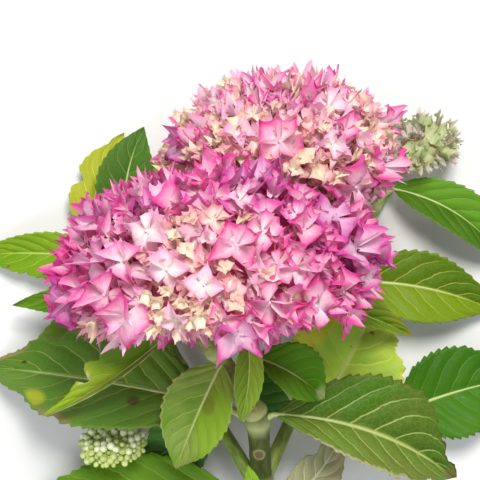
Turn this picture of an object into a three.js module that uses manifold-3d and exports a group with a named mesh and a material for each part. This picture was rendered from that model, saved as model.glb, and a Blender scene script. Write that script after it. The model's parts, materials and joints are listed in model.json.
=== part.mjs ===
// Flowering branch of a mophead hydrangea, cut from the shrub and lying down with its
// blooms turned up. +X runs right, +Y towards the flower end and +Z up from the surface
// that it lies on. All sizes are millimetres. The branch is worked out in its own layout
// and then moved so that its box stands centred on the origin with its lowest point at 0.
import * as THREE from 'three';
import { mergeVertices } from 'three/addons/utils/BufferGeometryUtils.js';
import Module from 'manifold-3d';

const wasm = await Module();
wasm.setup();

const CLEARANCE = 0.3;
const GOLDEN_ANGLE = Math.PI * (3 - Math.sqrt(5));

const LEAF_THICKNESS = 1.25;
const LEAF_STATIONS = 12;
const PETIOLE_STATIONS = 3;
const TOOTH_DEPTH = 0.07;
const PETIOLE_BASE_RADIUS = 2.1;
const PETIOLE_TIP_RADIUS = 1.3;

const STEM_SIDES = 8;
const STEM_STEP = 9;
const CUT_Y = -196;
const REST_HEIGHT = 0.2;

// The two blooms share one parting plane, because their outer florets press together.
const PARTING_POINT = [0, 39, 104];
const PARTING_NORMAL = [0.15, 0.89, -0.43];
const PARTING_MARGIN = 5;
const PARTING_SKIP = 16;
const HEART_MARGIN = 9;

// Stems: the points they run through, the radius at each point, and the swollen nodes
// as [share of the length, extra radius, reach as a share]. Each springs from `parent`.
const STEMS = {
  main_stem: {
    parent: null,
    path: [[4, -201, 5.6], [8, -152, 17.6], [10.5, -122, 31], [9.5, -99, 46], [8, -84, 56]],
    radii: [6.5, 6.0, 5.4, 5.4, 5.2],
    nodes: [[0.37, 1.3, 0.035], [0.62, 1.8, 0.04], [0.9, 1.7, 0.06]],
    colour: 0x7c8a3a,
  },
  front_peduncle: {
    parent: 'main_stem',
    path: [[7.8, -83.4, 56.4], [0, -72, 64], [-11, -55, 76], [-17, -45, 83]],
    radii: [5.1, 3.9, 4.3, 5.6],
    nodes: [[0.42, 0.9, 0.08], [0.78, 0.7, 0.08]],
    colour: 0x8c8a45,
  },
  back_shoot: {
    parent: 'main_stem',
    path: [[13, -122, 31], [25, -98, 19], [38, -68, 13], [44, -38, 13], [40, -8, 25], [27, 17, 43]],
    radii: [4.0, 3.4, 3.2, 3.2, 3.2, 3.8],
    nodes: [[0.31, 0.8, 0.05], [0.56, 0.9, 0.03]],
    colour: 0x84934a,
  },
  left_shoot: {
    parent: 'main_stem',
    path: [[6, -123, 30], [-9, -100, 18], [-32, -66, 11], [-48, -28, 9], [-56, -2, 10]],
    radii: [3.8, 3.3, 3.0, 2.7, 2.2],
    nodes: [[0.5, 0.7, 0.03], [0.8, 0.7, 0.03], [0.97, 0.6, 0.03]],
    colour: 0x7f9440,
  },
  young_shoot: {
    parent: 'back_shoot',
    path: [[42.5, -24, 18], [56, -6, 9], [73, 18, 7], [84, 34, 13]],
    radii: [2.8, 2.6, 2.5, 2.4],
    nodes: [[0.72, 0.7, 0.06]],
    colour: 0x87994a,
  },
  bud_shoot: {
    parent: 'main_stem',
    path: [[6, -152, 16], [-20, -154, 6], [-46, -141, 5], [-62, -119, 6.5], [-65, -111.5, 13],
      [-64.5, -111, 23]],
    radii: [2.8, 2.4, 2.2, 2.1, 2.0, 2.0],
    nodes: [],
    colour: 0x8a9c52,
  },
};

// Flower heads: each stands on the tip of its stem, with the middle of its rim at `base`.
const HEADS = {
  front_bloom: {
    stem: 'front_peduncle', base: [-11, -15, 88], axis: [-0.12, 0.93, 0.35],
    radius: 77, height: 57, under: 22, florets: 60, floretRadius: 17, stand: 10,
    polarMax: 110, side: -1, seed: 11, clearOf: ['front_peduncle', 'back_shoot'], colour: 0xe58cc0,
  },
  back_bloom: {
    stem: 'back_shoot', base: [21.5, 42, 59], axis: [-0.08, 0.92, 0.38],
    radius: 61, height: 41, under: 27, florets: 47, floretRadius: 15, stand: 9,
    polarMax: 122, side: 1, seed: 23, clearOf: ['back_shoot'], colour: 0xdd86c2,
  },
  young_head: {
    stem: 'young_shoot', base: [94, 49, 21], axis: [0.1, 0.9, 0.42],
    radius: 20, height: 14, under: 8, florets: 18, floretRadius: 7, stand: 5,
    polarMax: 110, side: 0, seed: 37, clearOf: ['young_shoot'], colour: 0xd3d8ae,
  },
};

const BUD_HEAD = {
  stem: 'bud_shoot', base: [-65, -105, 32], axis: [-0.1, 0.8, 0.57],
  radius: 18, height: 10, under: 7, buds: 34, budRadius: 2.3, seed: 5, colour: 0xc9d69a,
};

// Leaves: `stem` and `at` say where the stalk springs, the blade runs from `start` to
// `tip`, `arch` lifts its middle and `sway` moves it to its right. `roll` lifts the right
// edge, `twist` adds roll towards the tip, `fold` lifts both edges from the midrib, and
// `belly` is the share of the blade at which it is widest.
const LEAVES = {
  leaf_mid: {
    stem: 'front_peduncle', at: 0.42, start: [-9, -60, 77], tip: [-32, -114, 58],
    arch: 6, sway: 1, width: 38, roll: -15, twist: 6, fold: 19, belly: 0.42, colour: 0x6f9a2a,
  },
  leaf_small: {
    stem: 'front_peduncle', at: 0.8, start: [4, -48, 92], tip: [0, -88, 80],
    arch: 5, sway: -2, width: 18, roll: 0, twist: 0, fold: 38, belly: 0.4, colour: 0x7fa83a,
  },
  leaf_right_big: {
    stem: 'main_stem', at: 0.9, start: [17, -87, 56], tip: [110, -122, 36],
    arch: 9, sway: -9, width: 60, roll: 28, twist: -6, fold: 28, belly: 0.54, colour: 0x6a9430,
  },
  leaf_left_big: {
    stem: 'main_stem', at: 0.9, start: [-9, -83, 50], tip: [-135, -68, 2],
    arch: 17, sway: 4, width: 56, roll: -19, twist: 4, fold: 16, belly: 0.5, colour: 0x46702a,
  },
  leaf_folded: {
    stem: 'front_peduncle', at: 0.78, start: [-33, -44, 82], tip: [-98, -88, 56],
    arch: 5, sway: -3, width: 34, roll: -20, twist: 0, fold: 54, belly: 0.42, colour: 0x8db81f,
  },
  leaf_under: {
    stem: 'front_peduncle', at: 0.42, start: [7, -57, 74], tip: [42, -79, 60],
    arch: 4, sway: -3, width: 32, roll: 22, twist: 8, fold: 30, belly: 0.5, colour: 0x4c7420,
  },
  leaf_yellow: {
    stem: 'back_shoot', at: 0.28, start: [40, -86, 27], tip: [70, -31, 28],
    arch: 7, sway: 2, width: 62, roll: 4, twist: 0, fold: 10, belly: 0.45, colour: 0xa8bf3c,
  },
  leaf_narrow: {
    stem: 'back_shoot', at: 0.56, start: [38, -31, 47], tip: [88, -49, 45],
    arch: 5, sway: -2, width: 22, roll: 18, twist: 0, fold: 46, belly: 0.42, colour: 0x5b8a2c,
  },
  leaf_right: {
    stem: 'back_shoot', at: 0.56, start: [56, -22, 21], tip: [136, -38, 8],
    arch: 8, sway: -5, width: 39, roll: 6, twist: -6, fold: 14, belly: 0.45, colour: 0x8fb52c,
  },
  leaf_arching: {
    stem: 'young_shoot', at: 0.72, start: [81, 27, 16], tip: [143, -14, 1],
    arch: 12, sway: -7, width: 40, roll: 10, twist: 0, fold: 16, belly: 0.5, colour: 0x86ab33,
  },
  leaf_far_right: {
    stem: 'back_shoot', at: 0.34, start: [84, -91, 14], tip: [149, -74, 1],
    arch: 7, sway: -3, width: 50, roll: 6, twist: 0, fold: 12, belly: 0.45, colour: 0x4f9020,
  },
  leaf_left: {
    stem: 'left_shoot', at: 0.84, start: [-68, -10, 14], tip: [-142, -8, 1],
    arch: 6, sway: 2, width: 28, roll: 10, twist: 0, fold: 24, belly: 0.42, colour: 0x9ac02a,
  },
  leaf_left_edge: {
    stem: 'left_shoot', at: 0.79, start: [-66, -30, 22], tip: [-119, -34, 20],
    arch: 5, sway: 2, width: 20, roll: 12, twist: 0, fold: 44, belly: 0.42, colour: 0x6c9c30,
  },
  leaf_left_pale: {
    stem: 'left_shoot', at: 0.5, start: [-52, -50, 13], tip: [-113, -61, 5],
    arch: 6, sway: 5, width: 32, roll: 0, twist: 0, fold: 10, belly: 0.42, colour: 0x8fa84f,
  },
  leaf_dark_up: {
    stem: 'left_shoot', at: 0.97, start: [-61, 8, 16], tip: [-50, 59, 24],
    arch: 6, sway: -3, width: 32, roll: 0, twist: 0, fold: 12, belly: 0.42, colour: 0x3f7230,
  },
  leaf_yellow_up: {
    stem: 'left_shoot', at: 0.92, start: [-77, 0, 8], tip: [-62, 57, 3],
    arch: 5, sway: -6, width: 28, roll: 0, twist: 0, fold: 8, belly: 0.42, colour: 0xc2cb3a,
  },
  leaf_tip_right: {
    stem: 'left_shoot', at: 0.97, start: [-47, 8, 9], tip: [-40, 52, 8],
    arch: 4, sway: 4, width: 24, roll: 0, twist: 0, fold: 10, belly: 0.42, colour: 0xaebd3c,
  },
  leaf_hidden: {
    stem: 'back_shoot', at: 0.2, start: [30, -88, 28], tip: [4, -58, 36],
    arch: 4, sway: 2, width: 36, roll: 0, twist: 0, fold: 10, belly: 0.42, colour: 0x4f8d4c,
  },
  leaf_behind: {
    stem: 'left_shoot', at: 0.2, start: [-15, -101, 23], tip: [-50, -121, 6],
    arch: 4, sway: 3, width: 36, roll: 0, twist: 0, fold: 10, belly: 0.42, colour: 0x4a8550,
  },
  leaf_bottom_left: {
    stem: 'main_stem', at: 0.62, start: [-5, -132, 27], tip: [-126, -147, 2],
    arch: 6, sway: -1, width: 55, roll: -12, twist: 0, fold: 8, belly: 0.42, colour: 0x6fa21e,
  },
  leaf_sprout: {
    stem: 'main_stem', at: 0.62, start: [8, -130, 41], tip: [4, -113, 52],
    arch: 1, sway: 0, width: 9, roll: 0, twist: 0, fold: 25, belly: 0.42, colour: 0x93bd3a,
  },
  leaf_dry: {
    stem: 'main_stem', at: 0.37, start: [21, -140, 20], tip: [53, -101, 25],
    arch: 6, sway: 3, width: 27, roll: 0, twist: 10, fold: 26, belly: 0.5, colour: 0xa4946c,
  },
};

const vec = (p) => new THREE.Vector3(p[0], p[1], p[2]);
const degrees = (angle) => (angle * Math.PI) / 180;

function randomStream(seed) {
  let state = seed >>> 0;
  return () => {
    state = (state + 0x6d2b79f5) >>> 0;
    let t = state;
    t = Math.imul(t ^ (t >>> 15), t | 1);
    t ^= t + Math.imul(t ^ (t >>> 7), t | 61);
    return ((t ^ (t >>> 14)) >>> 0) / 4294967296;
  };
}

function toSolid(geometry) {
  const bare = geometry.index ? geometry.clone() : geometry;
  bare.deleteAttribute('normal');
  bare.deleteAttribute('uv');
  const merged = mergeVertices(bare, 1e-4);
  return new wasm.Manifold(new wasm.Mesh({
    numProp: 3,
    vertProperties: new Float32Array(merged.attributes.position.array),
    triVerts: new Uint32Array(merged.index.array),
  }));
}

// The one connected body that a boolean leaves, without loose scraps.
function largestBody(solid) {
  const bodies = solid.decompose();
  return bodies.reduce((best, body) => (body.volume() > best.volume() ? body : best));
}

function meshFrom(name, solid, colour, roughness) {
  const mesh = largestBody(solid).getMesh();
  const geometry = new THREE.BufferGeometry();
  geometry.setAttribute('position', new THREE.BufferAttribute(new Float32Array(mesh.vertProperties), 3));
  geometry.setIndex(new THREE.BufferAttribute(new Uint32Array(mesh.triVerts), 1));
  const material = new THREE.MeshStandardMaterial({ color: colour, roughness, metalness: 0 });
  const piece = new THREE.Mesh(geometry, material);
  piece.name = name;
  return piece;
}

// Moves each vertex of a three.js shape to its place: place changes the point it is given.
function placeVertices(geometry, place) {
  const position = geometry.attributes.position;
  const point = new THREE.Vector3();
  for (let i = 0; i < position.count; i += 1) {
    point.fromBufferAttribute(position, i);
    place(point);
    position.setXYZ(i, point.x, point.y, point.z);
  }
  return geometry;
}

function stemRadius(stem, t, extra) {
  const spans = stem.radii.length - 1;
  const i = Math.min(Math.floor(t * spans), spans - 1);
  let radius = THREE.MathUtils.lerp(stem.radii[i], stem.radii[i + 1], t * spans - i);
  for (const [at, swell, reach] of stem.nodes) {
    radius += swell * Math.exp(-(((t - at) / reach) ** 2));
  }
  return radius + extra;
}

function stemCurve(stem) {
  return new THREE.CatmullRomCurve3(stem.path.map(vec), false, 'centripetal');
}

function stemGeometry(stem, extra, overrun) {
  const curve = stemCurve(stem);
  const steps = Math.round(curve.getLength() / STEM_STEP);
  const geometry = new THREE.CylinderGeometry(1, 1, 1, STEM_SIDES, steps, false);
  return placeVertices(geometry, (point) => {
    const t = point.y + 0.5;
    const middle = curve.getPointAt(t);
    const along = curve.getTangentAt(t);
    if (t === 0) middle.addScaledVector(along, -overrun);
    if (t === 1) middle.addScaledVector(along, overrun);
    const right = new THREE.Vector3().crossVectors(along, new THREE.Vector3(0, 0, 1)).normalize();
    const up = new THREE.Vector3().crossVectors(right, along);
    const radius = stemRadius(stem, t, extra);
    const { x, z } = point;
    point.copy(middle).addScaledVector(right, x * radius).addScaledVector(up, z * radius);
  });
}

function bladeShape(t, belly) {
  const swell = Math.max(Math.sin(Math.PI * t ** (Math.log(0.5) / Math.log(belly))), 0) ** 0.82;
  return Math.max(swell * (1 - 0.3 * t ** 5), 0.045);
}

function leafCurve(leaf) {
  const start = vec(leaf.start);
  const tip = vec(leaf.tip);
  const right = new THREE.Vector3().subVectors(tip, start).cross(new THREE.Vector3(0, 0, 1)).normalize();
  const middle = new THREE.Vector3().addVectors(start, tip).multiplyScalar(0.5);
  middle.z += 2 * leaf.arch;
  middle.addScaledVector(right, 2 * leaf.sway);
  return new THREE.QuadraticBezierCurve3(start, middle, tip);
}

// The stalk runs from the middle of the stem, through an easy bow, to the foot of the blade.
function petioleCurve(leaf) {
  const root = stemCurve(STEMS[leaf.stem]).getPointAt(leaf.at);
  const blade = leafCurve(leaf);
  const start = blade.getPoint(0);
  const bow = new THREE.Vector3().lerpVectors(root, start, 0.55).addScaledVector(blade.getTangent(0), -2);
  return new THREE.CatmullRomCurve3([root, bow, start], false, 'centripetal');
}

// Stalk and blade in one body: a bar three points wide, six-sided along the stalk, that
// flattens into the toothed blade.
function leafGeometry(leaf) {
  const blade = leafCurve(leaf);
  const petiole = petioleCurve(leaf);
  const stations = PETIOLE_STATIONS + LEAF_STATIONS;
  const size = Math.min(1, Math.sqrt(leaf.width / 40));
  const flatRight = (along) => new THREE.Vector3().crossVectors(along, new THREE.Vector3(0, 0, 1));
  const footRight = flatRight(blade.getTangent(0)).normalize();
  const geometry = new THREE.BoxGeometry(2, 1, 2, 2, stations, 1);
  return placeVertices(geometry, (point) => {
    const { x, z } = point;
    const station = Math.round((point.y + 0.5) * stations);
    const onStalk = station < PETIOLE_STATIONS;
    const t = Math.max(0, station - PETIOLE_STATIONS) / LEAF_STATIONS;
    const along = onStalk ? petiole.getTangentAt(station / PETIOLE_STATIONS) : blade.getTangent(t);
    const middle = onStalk ? petiole.getPointAt(station / PETIOLE_STATIONS) : blade.getPoint(t);
    const level = onStalk ? footRight.clone() : flatRight(along).normalize();
    level.addScaledVector(along, -level.dot(along)).normalize();
    const levelUp = new THREE.Vector3().crossVectors(level, along);
    const roll = degrees(leaf.roll + leaf.twist * t);
    const right = level.clone().multiplyScalar(Math.cos(roll)).addScaledVector(levelUp, Math.sin(roll));
    const up = new THREE.Vector3().crossVectors(right, along);
    let across;
    let lift;
    if (onStalk) {
      const share = station / PETIOLE_STATIONS;
      const radius = size * THREE.MathUtils.lerp(PETIOLE_BASE_RADIUS, PETIOLE_TIP_RADIUS, share);
      across = x * radius;
      lift = z * radius * (x === 0 ? 1 : 0.5);
    } else {
      const tooth = station % 2 === 0 ? 1 - TOOTH_DEPTH : 1;
      const half = 0.5 * leaf.width * bladeShape(t, leaf.belly) * tooth;
      const rib = x === 0 ? size * PETIOLE_TIP_RADIUS * Math.max(0, 1 - 4 * t) : 0;
      across = x * half * Math.cos(degrees(leaf.fold));
      lift = Math.abs(x) * half * Math.sin(degrees(leaf.fold)) + z * Math.max(LEAF_THICKNESS / 2, rib);
    }
    point.copy(middle).addScaledVector(right, across).addScaledVector(up, lift);
  });
}

// Basis of a flower head: its axis, and two directions square to it.
function headBasis(head) {
  const axis = vec(head.axis).normalize();
  const right = new THREE.Vector3().crossVectors(axis, new THREE.Vector3(0, 0, 1)).normalize();
  const front = new THREE.Vector3().crossVectors(right, axis);
  return { axis, right, front };
}

function headPoint(head, basis, polar, turn, shrink) {
  const depth = Math.cos(polar) > 0 ? head.height : head.under;
  return vec(head.base)
    .addScaledVector(basis.axis, Math.cos(polar) * (depth - shrink))
    .addScaledVector(basis.right, Math.sin(polar) * Math.cos(turn) * (head.radius - shrink))
    .addScaledVector(basis.front, Math.sin(polar) * Math.sin(turn) * (head.radius - shrink));
}

function headNormal(head, basis, polar, turn) {
  const depth = Math.cos(polar) > 0 ? head.height : head.under;
  return basis.axis.clone().multiplyScalar(Math.cos(polar) / depth)
    .addScaledVector(basis.right, (Math.sin(polar) * Math.cos(turn)) / head.radius)
    .addScaledVector(basis.front, (Math.sin(polar) * Math.sin(turn)) / head.radius)
    .normalize();
}

// Rounded heart of a head, which the florets or buds stand out of.
function heartGeometry(head, shrink, segments, rings) {
  const profile = [];
  for (let i = 0; i <= rings; i += 1) {
    const polar = Math.PI * (1 - i / rings);
    const depth = Math.cos(polar) > 0 ? head.height : head.under;
    const radius = i === 0 || i === rings ? 0 : Math.sin(polar) * (head.radius - shrink);
    profile.push(new THREE.Vector2(radius, Math.cos(polar) * (depth - shrink)));
  }
  const basis = headBasis(head);
  return placeVertices(new THREE.LatheGeometry(profile, segments), (point) => {
    const { x, y, z } = point;
    point.copy(vec(head.base)).addScaledVector(basis.axis, y)
      .addScaledVector(basis.right, x).addScaledVector(basis.front, z);
  });
}

// One four-pointed floret: its rim runs out to the sepal tips, and it narrows below into
// its stalk, whose end is sunk in the heart. The surface below presses low tips flat.
function floretGeometry(centre, facing, turn, radius, depth) {
  const right = new THREE.Vector3().crossVectors(facing, new THREE.Vector3(0.3, 0.2, 1)).normalize();
  const front = new THREE.Vector3().crossVectors(right, facing);
  const geometry = new THREE.SphereGeometry(1, 8, 2);
  return placeVertices(geometry, (point) => {
    const { y } = point;
    if (Math.abs(y) > 0.5) {
      point.copy(centre).addScaledVector(facing, y > 0 ? 0.2 : -depth);
      return;
    }
    const corner = Math.round(Math.atan2(point.z, point.x) / (Math.PI / 4));
    const isTip = corner % 2 === 0;
    const reach = isTip ? radius : radius * 0.5;
    const saddle = Math.abs(corner) % 4 === 0 ? 0.36 : 0.12;
    const lift = radius * (isTip ? saddle : -0.08);
    const angle = turn + (corner * Math.PI) / 4;
    point.copy(centre)
      .addScaledVector(right, Math.cos(angle) * reach)
      .addScaledVector(front, Math.sin(angle) * reach)
      .addScaledVector(facing, lift);
    point.z = Math.max(point.z, REST_HEIGHT);
  });
}

function rodGeometry(from, to, radius, sides) {
  const along = new THREE.Vector3().subVectors(to, from).normalize();
  const right = new THREE.Vector3().crossVectors(along, new THREE.Vector3(0.4, 0.3, 1)).normalize();
  const up = new THREE.Vector3().crossVectors(right, along);
  return placeVertices(new THREE.CylinderGeometry(1, 1, 1, sides, 1, false), (point) => {
    const { x, z } = point;
    point.lerpVectors(from, to, point.y + 0.5)
      .addScaledVector(right, x * radius).addScaledVector(up, z * radius);
  });
}

// Distance of a point into a bloom's own side of the parting plane.
function clearOfParting(point, side) {
  if (side === 0) return PARTING_MARGIN;
  return side * new THREE.Vector3().subVectors(point, vec(PARTING_POINT)).dot(vec(PARTING_NORMAL).normalize());
}

function partingHalf(side, margin) {
  const size = 400;
  const box = new THREE.BoxGeometry(size, size, size);
  box.translate(0, side * (size / 2 + margin), 0);
  const turn = new THREE.Quaternion().setFromUnitVectors(
    new THREE.Vector3(0, 1, 0),
    vec(PARTING_NORMAL).normalize(),
  );
  box.applyQuaternion(turn);
  box.translate(PARTING_POINT[0], PARTING_POINT[1], PARTING_POINT[2]);
  return toSolid(box);
}

function headStub(head) {
  const tip = stemCurve(STEMS[head.stem]).getPointAt(1);
  return toSolid(rodGeometry(tip, vec(head.base), 3.4 * Math.min(1, head.radius / 50 + 0.3), 8));
}

function bloomSolid(head) {
  const random = randomStream(head.seed);
  const basis = headBasis(head);
  const polarMax = degrees(head.polarMax);
  let solid = toSolid(heartGeometry(head, head.stand + 3, 12, 6));
  if (head.side !== 0) solid = solid.intersect(partingHalf(head.side, HEART_MARGIN));
  solid = solid.add(headStub(head));
  for (let i = 0; i < head.florets; i += 1) {
    const polar = polarMax * ((i + 0.5) / head.florets) ** 0.56;
    const turn = i * GOLDEN_ANGLE + 0.35 * (random() - 0.5);
    const shrink = head.stand * (0.35 + 0.35 * random());
    const centre = headPoint(head, basis, polar, turn, shrink);
    const facing = headNormal(head, basis, polar, turn);
    facing.addScaledVector(basis.right, 0.3 * (random() - 0.5));
    facing.addScaledVector(basis.front, 0.3 * (random() - 0.5)).normalize();
    const radius = head.floretRadius * (0.85 + 0.3 * random());
    const spin = random() * Math.PI * 2;
    const inside = clearOfParting(centre, head.side);
    if (inside < -PARTING_SKIP) continue;
    const push = head.side * Math.max(0, PARTING_MARGIN - inside);
    centre.addScaledVector(vec(PARTING_NORMAL).normalize(), push);
    solid = solid.add(toSolid(floretGeometry(centre, facing, spin, radius, head.stand * 1.2 + 8 - shrink)));
  }
  if (head.side !== 0) solid = solid.intersect(partingHalf(head.side, CLEARANCE / 2));
  for (const stem of head.clearOf) {
    solid = solid.subtract(toSolid(stemGeometry(STEMS[stem], CLEARANCE, CLEARANCE)));
  }
  return solid;
}

function budHeadSolid(head) {
  const random = randomStream(head.seed);
  const basis = headBasis(head);
  let solid = toSolid(heartGeometry(head, 2.6, 9, 5)).add(headStub(head));
  for (let i = 0; i < head.buds; i += 1) {
    const polar = Math.acos(1 - 1.12 * ((i + 0.5) / head.buds));
    const centre = headPoint(head, basis, polar, i * GOLDEN_ANGLE, head.budRadius * (1 + 0.5 * random()));
    const bud = new THREE.OctahedronGeometry(head.budRadius * (0.95 + 0.35 * random()), 0);
    bud.translate(centre.x, centre.y, centre.z);
    solid = solid.add(toSolid(bud));
  }
  return solid.subtract(toSolid(stemGeometry(STEMS[head.stem], CLEARANCE, CLEARANCE)));
}

const branch = new THREE.Group();

for (const [name, stem] of Object.entries(STEMS)) {
  let solid = toSolid(stemGeometry(stem, 0, 0));
  if (name === 'main_stem') {
    const waste = new THREE.BoxGeometry(40, 20, 40);
    waste.translate(4, CUT_Y - 10, 6);
    solid = solid.subtract(toSolid(waste));
  } else {
    solid = solid.subtract(toSolid(stemGeometry(STEMS[stem.parent], CLEARANCE, CLEARANCE)));
  }
  branch.add(meshFrom(name, solid, stem.colour, 0.6));
}

for (const [name, head] of Object.entries(HEADS)) {
  branch.add(meshFrom(name, bloomSolid(head), head.colour, 0.55));
}
branch.add(meshFrom('bud_head', budHeadSolid(BUD_HEAD), BUD_HEAD.colour, 0.5));

for (const [name, leaf] of Object.entries(LEAVES)) {
  const room = toSolid(stemGeometry(STEMS[leaf.stem], CLEARANCE, CLEARANCE));
  const solid = toSolid(leafGeometry(leaf)).subtract(room);
  branch.add(meshFrom(name, solid, leaf.colour, 0.45));
}

const box = new THREE.Box3().setFromObject(branch);
branch.position.set(-(box.min.x + box.max.x) / 2, -(box.min.y + box.max.y) / 2, -box.min.z);
branch.updateMatrixWorld(true);

export default branch;
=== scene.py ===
import json
import math
import random

import bmesh
import bpy
from mathutils import Matrix, Vector, noise


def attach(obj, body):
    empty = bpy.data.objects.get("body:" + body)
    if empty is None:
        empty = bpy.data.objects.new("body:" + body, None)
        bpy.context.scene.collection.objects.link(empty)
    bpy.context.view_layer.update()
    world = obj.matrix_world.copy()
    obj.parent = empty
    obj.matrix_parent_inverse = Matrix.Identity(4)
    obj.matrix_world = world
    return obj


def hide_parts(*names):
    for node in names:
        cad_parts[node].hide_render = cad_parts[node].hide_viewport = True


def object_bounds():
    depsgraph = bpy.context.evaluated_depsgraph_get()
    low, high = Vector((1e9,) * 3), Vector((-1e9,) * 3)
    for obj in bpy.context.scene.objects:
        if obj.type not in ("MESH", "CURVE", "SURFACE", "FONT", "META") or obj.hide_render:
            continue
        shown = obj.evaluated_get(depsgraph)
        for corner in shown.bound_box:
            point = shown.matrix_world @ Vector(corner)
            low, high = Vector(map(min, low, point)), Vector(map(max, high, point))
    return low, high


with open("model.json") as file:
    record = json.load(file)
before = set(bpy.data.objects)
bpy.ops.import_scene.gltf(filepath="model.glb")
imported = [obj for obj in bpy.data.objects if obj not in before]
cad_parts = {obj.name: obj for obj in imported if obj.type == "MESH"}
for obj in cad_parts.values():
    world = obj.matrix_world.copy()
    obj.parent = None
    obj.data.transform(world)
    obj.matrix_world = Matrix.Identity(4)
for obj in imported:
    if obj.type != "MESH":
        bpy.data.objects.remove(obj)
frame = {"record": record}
cad_box = [list(corner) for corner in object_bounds()]


# The woody stems: the main stem, cut square below, forks into the peduncle of the near
# bloom and shoots that run low to the other heads. Green bark, ridged and swollen at the
# nodes where leaves sit, turning brown-speckled below the bloom.
STEMS = {
    "main_stem": {
        "path": [(4, -201, 5.6), (8, -152, 17.6), (10.5, -122, 31), (9.5, -99, 46), (8, -84, 56)],
        "radii": [6.5, 6.0, 5.4, 5.4, 5.2],
        "nodes": [(0.37, 1.3, 0.035), (0.62, 1.8, 0.04), (0.93, 1.1, 0.045)],
        "colours": ((76, 89, 20), (57, 68, 14), (108, 84, 40)),
        "scar": (9.6, -109.5, 46.5),
    },
    "front_peduncle": {
        "path": [(8.2, -87.0, 54.0), (0, -72, 64), (-11, -55, 76), (-17, -45, 83)],
        "radii": [5.1, 3.9, 4.3, 5.6],
        "nodes": [(0.03, 1.2, 0.07), (0.42, 0.9, 0.08), (0.78, 0.7, 0.08)],
        "colours": ((140, 140, 72), (112, 116, 52), (140, 78, 60)),
    },
    "back_shoot": {
        "path": [(13, -122, 31), (25, -98, 19), (38, -68, 13), (44, -38, 13), (40, -8, 25),
                 (27, 17, 43)],
        "radii": [4.0, 3.4, 3.2, 3.2, 3.2, 3.8],
        "nodes": [(0.31, 0.8, 0.05), (0.56, 0.9, 0.03)],
        "colours": ((134, 150, 74), (108, 126, 54), (140, 110, 70)),
    },
    "left_shoot": {
        "path": [(6, -123, 30), (-9, -100, 18), (-32, -66, 11), (-48, -28, 9), (-56, -2, 10)],
        "radii": [3.8, 3.3, 3.0, 2.7, 2.2],
        "nodes": [(0.5, 0.7, 0.03), (0.8, 0.7, 0.03), (0.97, 0.6, 0.03)],
        "colours": ((128, 152, 66), (100, 124, 48), (140, 110, 70)),
    },
    "young_shoot": {
        "path": [(42.5, -24, 18), (56, -6, 9), (73, 18, 7), (84, 34, 13)],
        "radii": [2.8, 2.6, 2.5, 2.4],
        "nodes": [(0.72, 0.7, 0.06)],
        "colours": ((140, 160, 80), (112, 136, 60), (140, 110, 70)),
    },
    "bud_shoot": {
        "path": [(6, -152, 16), (-20, -154, 6), (-46, -141, 5), (-62, -119, 6.5), (-65, -111.5, 13),
                 (-64.5, -111, 23)],
        "radii": [2.8, 2.4, 2.2, 2.1, 2.0, 2.0],
        "nodes": [],
        "colours": ((142, 160, 86), (112, 134, 62), (140, 110, 70)),
    },
}
STEM_SIDES = 24
STEM_STEP = 1.6
STEM_RIDGES = 6
STEM_PLACES = 400
FLOOR_GAP = 0.0002
NODE_TINT = (190, 196, 132)
SCAR_RINGS = ((0.0042, (150, 146, 96)), (0.003, (104, 78, 48)), (0.0012, (64, 46, 30)))
CUT_TINTS = {"cut_bark": (150, 160, 84), "cut_wood": (214, 212, 150), "cut_pith": (236, 232, 204)}
# The branch is drawn in millimetres in its own layout, with +Z up and the blooms towards
# +Y. The middle of the cut end ties that layout to the frame.
CUT_MIDDLE = Vector((4.5917, -196.0, 6.6922))
UP = Vector((0, 0, 1))
cut_end = next(m for m in frame["record"]["mounts"] if m["name"] == "cut_end")
to_frame = (
    Matrix.Translation(Vector(cut_end["pos_m"]))
    @ Matrix.Scale(0.001, 4)
    @ Matrix.Translation(-CUT_MIDDLE)
)


def colour_of(rgb):
    """Screen colour in 0 to 255 as the linear colour that materials take."""
    shares = [c / 255 for c in rgb]
    return tuple(c / 12.92 if c <= 0.04 else ((c + 0.055) / 1.055) ** 2.4 for c in shares) + (1.0,)


def smooth_line(points, steps):
    """Evenly spaced places and directions on a smooth line through the points."""
    knots = [Vector(p) for p in points]
    knots = [2 * knots[0] - knots[1], *knots, 2 * knots[-1] - knots[-2]]
    dense = []
    for a, b, c, d in zip(knots, knots[1:], knots[2:], knots[3:]):
        before, across, after = ((q - p).length ** 0.5 for p, q in ((a, b), (b, c), (c, d)))
        leave = ((b - a) / before - (c - a) / (before + across) + (c - b) / across) * across
        reach = ((c - b) / across - (d - b) / (across + after) + (d - c) / after) * across
        square, cube = 3 * c - 3 * b - 2 * leave - reach, 2 * b - 2 * c + leave + reach
        for k in range(32):
            w = k / 32
            dense.append(b + leave * w + square * w**2 + cube * w**3)
    dense.append(knots[-2])
    run = [0.0]
    for p, q in zip(dense, dense[1:]):
        run.append(run[-1] + (q - p).length)
    found, k = [], 0
    for i in range(steps + 1):
        goal = run[-1] * i / steps
        while k < len(run) - 2 and run[k + 1] < goal:
            k += 1
        share = (goal - run[k]) / max(run[k + 1] - run[k], 1e-9)
        found.append((dense[k].lerp(dense[k + 1], share), (dense[k + 1] - dense[k]).normalized()))
    return found, run[-1]


def square_to(along):
    """Level and upward directions square to a line."""
    right = along.cross(UP).normalized()
    return right, right.cross(along)


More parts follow.
